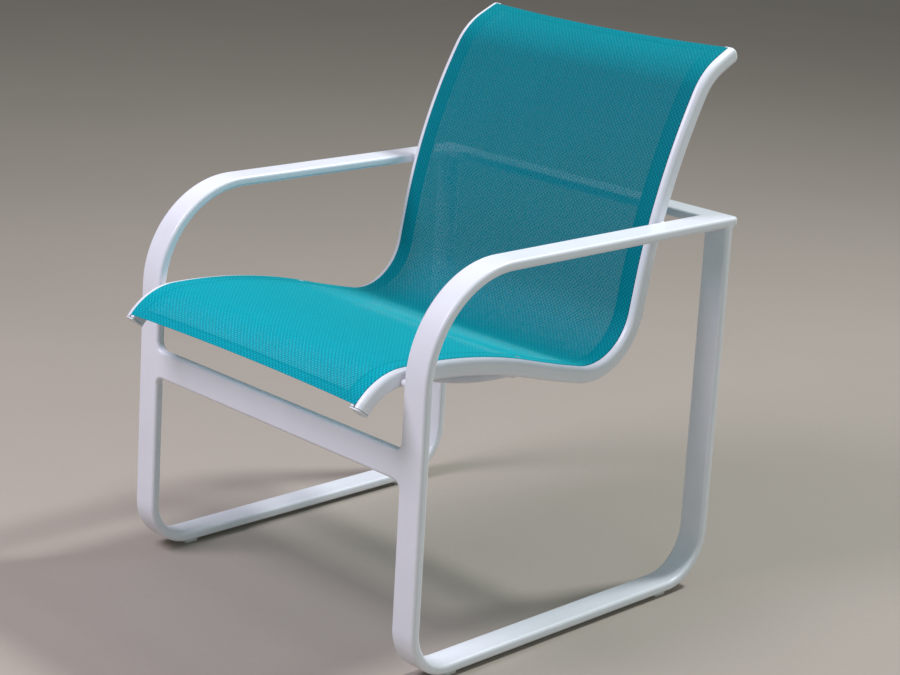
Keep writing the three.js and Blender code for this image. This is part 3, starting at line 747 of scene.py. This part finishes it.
def sling_line():
    """The strip's middle line across the chair, and the lengths along it from the chair's middle."""
    steps = 26
    outer = NECK + THROAT - TURN_OVER
    half = [(outer * i / steps, OVER) for i in range(steps)]
    half += arc(outer, OVER - TURN_OVER, TURN_OVER, math.pi / 2, 0, 6)
    loop = SPLINE / 2 + SEAM + CLOTH / 2
    lean = math.asin(THROAT / loop)
    half += arc(NECK, BORE_Y, loop, math.pi / 2 - lean, lean - 3 * math.pi / 2, 24)
    inner = NECK - THROAT - TURN_UNDER
    half += arc(inner, UNDER - TURN_UNDER, TURN_UNDER, 0, math.pi / 2, 5)
    half += [(inner + (HEM_EDGE - inner) * i / 6, UNDER) for i in range(1, 7)]
    lengths = [0]
    for (x0, y0), (x1, y1) in zip(half, half[1:]):
        lengths.append(lengths[-1] + math.hypot(x1 - x0, y1 - y0))
    line = [(-x, y) for x, y in half[:0:-1]] + half
    return line, [-s for s in lengths[:0:-1]] + lengths


def offsets(line, half):
    """Points on both sides of a line, at half the cloth's thickness."""
    left, right = [], []
    for i, (x, y) in enumerate(line):
        (ax, ay), (bx, by) = line[max(0, i - 1)], line[min(len(line) - 1, i + 1)]
        size = math.hypot(bx - ax, by - ay)
        nx, ny = -(by - ay) / size * half, (bx - ax) / size * half
        left.append((x + nx, y + ny))
        right.append((x - nx, y - ny))
    return left, right


def strip(name, rows, us, vs, nodes=()):
    """Cloth of even thickness: each row is (left points, right points), already placed."""
    count = len(us)
    verts, faces, uvs = [], [], []
    for left, right in rows:
        verts += left + right[::-1]
    ring = 2 * count
    both = list(us) + list(us)[::-1]
    for k in range(len(rows) - 1):
        for i in range(ring):
            j = (i + 1) % ring
            faces.append((k * ring + i, k * ring + j, (k + 1) * ring + j, (k + 1) * ring + i))
            uvs.append([(both[i], vs[k]), (both[j], vs[k]), (both[j], vs[k + 1]), (both[i], vs[k + 1])])
    for k, flip in ((0, True), (len(rows) - 1, False)):
        for i in range(count - 1):
            face = [k * ring + i, k * ring + i + 1, k * ring + ring - 2 - i, k * ring + ring - 1 - i]
            uv = [(both[i], vs[k]), (both[i + 1], vs[k]), (both[i + 1], vs[k]), (both[i], vs[k])]
            faces.append(tuple(face[::-1] if flip else face))
            uvs.append(uv[::-1] if flip else uv)
    return finish_mesh(name, verts, faces, cloth, nodes, uvs, crease=60)


def sling():
    line, lengths = sling_line()
    left, right = offsets(line, VISIBLE_CLOTH / 2)
    stops = rail_path.stops(START + 2 * FOLD, END - 2 * FOLD, degrees=2, longest=6)
    rows = [tuple([on_sling(x, y, s) for x, y in points] for points in (left, right)) for s in stops]
    return strip("sling_cloth", rows, [s * MM for s in lengths], [s * MM for s in stops], ["sling"])


# The end hems stop short of the grooves, and are folded deep only between the side hems. Their part
# of the UV map lies past the width that has holes.
END_HEM_HALF = NECK - 2.2
END_HEM_INSIDE = HEM_EDGE - 1
END_HEM_STEP = 0.4
SHALLOW_HEM = 0.1
CLOSED_U = 0.3
HEM_UV_STEP = 0.002


def end_hem(name, at, toward):
    """The cloth's end, folded under and sewn flat between the side hems."""
    centre = at + toward * 2 * FOLD
    fold = arc(0, (UNDER + OVER) / 2, FOLD, -math.pi / 2, -3 * math.pi / 2, 8)
    outer = [(END_HEM_HALF - END_HEM_INSIDE) * i / 4 for i in range(5)]
    between = END_HEM_INSIDE - END_HEM_STEP
    columns = [-END_HEM_HALF + x for x in outer]
    columns += [between * (i / 20 - 1) for i in range(41)]
    columns += [END_HEM_INSIDE + x for x in outer]
    rows = []
    for x in columns:
        reach = END_HEM if abs(x) < END_HEM_INSIDE else SHALLOW_HEM
        line = [(reach * (1 - i / 3), UNDER) for i in range(3)] + fold
        sides = offsets(line, VISIBLE_CLOTH / 2)
        rows.append(tuple([on_sling(x, y, centre + toward * d) for d, y in points] for points in sides))
    us = [CLOSED_U + at * MM + i * HEM_UV_STEP for i in range(len(fold) + 3)]
    return strip(name, rows, us, [x * MM for x in columns])


def stitches(name, spots):
    """Each stitch is a short raised length of thread, thinner at its ends, with a bare gap after it."""
    verts, faces = [], []
    sides = THREAD_SIDES
    for points in spots:
        base, count = len(verts), len(points)
        for i, (p, up) in enumerate(points):
            rise = math.sin(i / (count - 1) * math.pi)
            ahead = Vector(points[min(i + 1, count - 1)][0]) - Vector(points[max(i - 1, 0)][0])
            side = ahead.cross(up).normalized()
            size = THREAD_HALF * (THREAD_TIP_SHARE + (1 - THREAD_TIP_SHARE) * math.sqrt(max(0, rise)))
            for k in range(sides):
                angle = k / sides * 2 * math.pi
                height = math.sin(angle) * size + THREAD_RISE * rise
                verts.append(tuple(Vector(p) + side * math.cos(angle) * size + up * height))
        for face in loft_faces(count, sides):
            faces.append(tuple(base + index for index in face))
    return finish_mesh(name, verts, faces, thread, ())


def stitch_rows():
    """Rows along both side hems and across both end hems, as spots with the cloth's upward side."""
    level = OVER + VISIBLE_CLOTH / 2 - THREAD_SINK
    pitch, length = STITCH_PITCH, STITCH_LENGTH
    rows = []

    def spot(x, distance):
        p = Vector(on_sling(x, level, distance))
        return tuple(p), (Vector(on_sling(x, level + 1, distance)) - p).normalized()

    for x in (-HEM_EDGE - STITCH_INSET, HEM_EDGE + STITCH_INSET):
        for i in range(int((END - START - 2 * STITCH_MARGIN) / pitch)):
            at = START + STITCH_MARGIN + i * pitch
            rows.append([spot(x, at + length * j / 4) for j in range(5)])
    across = HEM_EDGE - END_STITCH_MARGIN
    for at in (START + END_HEM - END_STITCH_INSET, END - END_HEM + END_STITCH_INSET):
        for i in range(int(2 * across / pitch)):
            x = i * pitch - across
            rows.append([spot(x + length * j / 4, at) for j in range(5)])
    return rows


# Fixings: turned pieces along X, and screws with a hexagon socket

def turned(name, profile, centre, sign, seat, material, nodes, loop=False, hexes=0, sides=36):
    """Profile of (radius, distance along X) turned round a centre; its first rings can be hexagons."""
    rings = []
    for i, (radius, along) in enumerate(profile):
        ring = []
        for k in range(sides):
            angle = 2 * math.pi * k / sides
            size = radius
            if i < hexes:
                size *= math.cos(math.pi / 6) / math.cos(angle % (math.pi / 3) - math.pi / 6)
            back, height = centre[0] + size * math.cos(angle), centre[1] + size * math.sin(angle)
            ring.append((sign * (seat + along), back, height))
        rings.append(ring)
    return loft(name, rings, material, nodes, loop, crease=30)


def screw(name, node, centre, sign, seat, head, height, shank, length):
    """Domed head with its hexagon socket, the head's flat underside, and a shank with a bevelled end."""
    flat, side = HEAD_FLAT_SHARE, HEAD_SIDE_SHARE
    profile = [(SOCKET, SOCKET_DEPTH - height), (SOCKET, -height)]
    profile += [
        (head / 2 * (flat + (1 - flat) * math.sin(a)), -height * (side + (1 - side) * math.cos(a)))
        for a in quarter(7)
    ]
    profile += [(head / 2 - HEAD_CHAMFER, 0), (shank / 2, 0), (shank / 2, length - SHANK_CHAMFER)]
    profile += [(shank / 2 - SHANK_CHAMFER, length)]
    return turned(name, profile, centre, sign, seat, steel, [node], hexes=2)


def fixing(sign, side, name, distance):
    centre = rail_path.at(distance, -BOLT_DEPTH)
    face = INNER_ARM if name == "arm" else outer_face(centre[1]) - TUBE_WIDTH
    tag = "%s_%s" % (name, side)
    low, high = RAIL_OUTER + TOUCH, face - TOUCH
    inner, outer, edge = BOLT / 2 + SEAM, SPACER / 2, SPACER_EDGE
    half = [(inner, low), (outer - edge, low), (outer, low + edge)]
    profile = half + [(radius, low + high - along) for radius, along in half[::-1]]
    turned("spacer_" + tag, profile, centre, sign, 0, powder_coat, ["rail_spacer_" + tag],
           loop=True)
    seat = RAIL_INNER - TOUCH
    screw("bolt_" + tag, "rail_bolt_" + tag, centre, sign, seat, BOLT_HEAD, BOLT_HEAD_HEIGHT, BOLT,
          face + INSERT_LENGTH - seat)


# Stretcher under the seat

STRETCHER_STOP = rail_distance(STRETCHER_DROP, lambda spot: spot[0], STRETCHER_SETBACK)
PLATE_SEAT = RAIL_INNER - SEAM
STRETCHER_HALF = PLATE_SEAT - PLATE - TOUCH
MIDDLE_SHARE = 0.97


def on_stretcher(across, along, drop):
    """Spot under the seat: across the chair, along the rails, and down from their front faces."""
    back, height = rail_path.at(STRETCHER_STOP)
    ahead, above = rail_path.at(STRETCHER_STOP + SMALL_STEP)
    forward = Vector((ahead - back, above - height)).normalized()
    spot = Vector((back, height)) + forward * along - Vector((-forward.y, forward.x)) * drop
    return (across, spot.x, spot.y)


def stretcher():
    bend = (STRETCHER_HALF ** 2 + STRETCHER_BOW ** 2) / (2 * STRETCHER_BOW)
    ends = [WELD * (1 - math.cos(a)) / STRETCHER_HALF for a in quarter(6)]
    middles = [MIDDLE_SHARE * (i / 20 - 1) for i in range(41)]
    shares = [-1 + e for e in ends] + middles + [1 - e for e in ends[::-1]]
    outline = arc(0, 0, STRETCHER / 2, 0, 2 * math.pi, 32)[:-1]
    rings = []
    for share in shares:
        swell = 1 + weld_flare((1 - abs(share)) * STRETCHER_HALF, WELD) / (STRETCHER / 2)
        ring = []
        for x, y in outline:
            radius = bend - y * swell
            angle = share * math.asin(STRETCHER_HALF / radius)
            drop = STRETCHER_BOW - bend + radius * math.cos(angle)
            ring.append(on_stretcher(radius * math.sin(angle), x * swell, STRETCHER_DROP + drop))
        rings.append(ring)
    return loft("under_seat_bar", rings, powder_coat, ["seat_stretcher"])


def end_plate(sign, side):
    rings = []
    bevel = 0.3 * PLATE_EDGE
    for across, inset in ((0, 0), (PLATE - PLATE_EDGE, 0), (PLATE - bevel, bevel), (PLATE, PLATE_EDGE)):
        size = (PLATE_LENGTH - 2 * inset, PLATE_HEIGHT - 2 * inset)
        outline = rounded_rectangle(*size, [PLATE_CORNER - inset] * 4, 7)
        rings.append([on_stretcher(sign * (PLATE_SEAT - across), x, STRETCHER_DROP - y) for x, y in outline])
    loft("bar_plate_" + side, rings, powder_coat, ["stretcher_plate_" + side])
    for name, end in (("front", -1), ("rear", 1)):
        spot = on_stretcher(0, end * SCREW_SPACING / 2, SCREW_DEPTH)
        tag = "%s_%s" % (name, side)
        screw("plate_screw_" + tag, "stretcher_screw_" + tag, spot[1:], sign, PLATE_SEAT - PLATE - TOUCH,
              SCREW_HEAD, SCREW_HEAD_HEIGHT, SCREW, SCREW_LENGTH)


for side, sign in (("left", 1), ("right", -1)):
    side_frame(sign, side)
    for bend_end in BEND_ENDS:
        glide(sign, side, *bend_end)
    rail(sign, side)
    spline(sign, side)
    cap(sign, side, "front")
    cap(sign, side, "top")
    fixing(sign, side, "front", FRONT_FIXING)
    fixing(sign, side, "arm", ARM_FIXING)
    end_plate(sign, side)
rear_bar()
cross_rail()
stretcher()

sheet = sling()
hems = [end_hem("sling_hem_front", START, 1), end_hem("sling_hem_top", END, -1)]
sewing = stitches("sling_stitches", stitch_rows())
half_width = sling_line()[1][-1]

for name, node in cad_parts.items():
    if name.startswith("frame_insert_"):
        node.data.materials.clear()
        node.data.materials.append(steel)


# Floor, camera and light: places in metres, the lens in millimetres

FLOOR_HALF = 30
CAMERA_SPOT = (2.080640, -2.030484, 1.240751)
YAW, PITCH, ROLL = 0.785813, 0.292678, 0.059240
FOCAL_LENGTH, SENSOR_WIDTH = 82.779, 36
FARTHEST = 200
LIGHT_TARGET = Vector((0, 0, 0.4))
BACKDROP = (0.15, 0.14, 0.125, 1)
SKY = (0.86, 0.97, 1.0, 1)
SKY_STRENGTH = 0.27


def floor_material():
    n = Nodes("floor")
    place = n.place()
    cloud = n.noise(place, 1.3, 5.0, 0.6)
    grain = n.noise(place, 90, 4.0, 0.7)
    shade = n.mix(cloud, (0.46, 0.39, 0.33, 1), (0.40, 0.34, 0.29, 1))
    n.set(Base_Color=n.mix(n.math("MULTIPLY", grain, 0.25), shade, (0.33, 0.30, 0.27, 1)))
    n.set(Roughness=n.math("MULTIPLY_ADD", grain, 0.2, 0.6))
    n.bump(grain, 0.15, 0.001)
    return n.material


floor_mesh = bpy.data.meshes.new("floor")
grid = bmesh.new()
bmesh.ops.create_grid(grid, x_segments=8, y_segments=8, size=FLOOR_HALF)
grid.to_mesh(floor_mesh)
grid.free()
floor_mesh.materials.append(floor_material())
floor = bpy.data.objects.new("floor", floor_mesh)
bpy.context.scene.collection.objects.link(floor)

forward = Vector((-math.sin(YAW) * math.cos(PITCH), math.cos(YAW) * math.cos(PITCH), -math.sin(PITCH)))
right = Vector((math.cos(YAW), math.sin(YAW), 0))
up = right.cross(forward)
tilted_right = right * math.cos(ROLL) + up * math.sin(ROLL)
tilted_up = up * math.cos(ROLL) - right * math.sin(ROLL)
turn = Matrix((tilted_right, tilted_up, -forward)).transposed().to_4x4()
lens = bpy.data.cameras.new("camera")
lens.lens = FOCAL_LENGTH
lens.sensor_fit = "HORIZONTAL"
lens.sensor_width = SENSOR_WIDTH
lens.clip_end = FARTHEST
camera = bpy.data.objects.new("camera", lens)
camera.matrix_world = Matrix.Translation(CAMERA_SPOT) @ turn
bpy.context.scene.collection.objects.link(camera)
bpy.context.scene.camera = camera


def soft_light(name, direction, distance, size, watts, colour):
    """Round lamp that faces the seat from a direction."""
    lamp = bpy.data.lights.new(name, "AREA")
    lamp.shape = "DISK"
    lamp.size = size
    lamp.energy = watts
    lamp.color = colour
    item = bpy.data.objects.new(name, lamp)
    item.location = LIGHT_TARGET + Vector(direction).normalized() * distance
    item.rotation_mode = "QUATERNION"
    item.rotation_quaternion = Vector(direction).to_track_quat("Z", "Y")
    bpy.context.scene.collection.objects.link(item)


soft_light("key", (0.2, 0.62, 1.0), 4.0, 0.6, 110, (0.93, 1.0, 1.02))
soft_light("fill", (-0.4, -1.0, 1.15), 3.2, 1.6, 67, (1.0, 0.95, 1.12))
soft_light("side", (1.0, -0.15, 0.4), 3.2, 1.8, 9, (0.74, 1.0, 0.96))

# The world: a backdrop where it is seen, mirrored or seen through, and a soft sky that lights the rest
world = bpy.data.worlds.new("studio")
world.use_nodes = True
tree = world.node_tree
tree.nodes.clear()


def background(colour, strength):
    node = tree.nodes.new("ShaderNodeBackground")
    node.inputs["Color"].default_value = colour
    node.inputs["Strength"].default_value = strength
    return node.outputs[0]


paths = tree.nodes.new("ShaderNodeLightPath")
seen = paths.outputs["Is Camera Ray"]
for ray in ("Is Glossy Ray", "Is Transmission Ray"):
    either = tree.nodes.new("ShaderNodeMath")
    either.operation = "MAXIMUM"
    tree.links.new(seen, either.inputs[0])
    tree.links.new(paths.outputs[ray], either.inputs[1])
    seen = either.outputs[0]
blend = tree.nodes.new("ShaderNodeMixShader")
sources = (seen, background(SKY, SKY_STRENGTH), background(BACKDROP, 1.0))
for source, socket in zip(sources, blend.inputs):
    tree.links.new(source, socket)
output = tree.nodes.new("ShaderNodeOutputWorld")
tree.links.new(blend.outputs[0], output.inputs["Surface"])
bpy.context.scene.world = world
bpy.context.scene.view_settings.view_transform = "Standard"
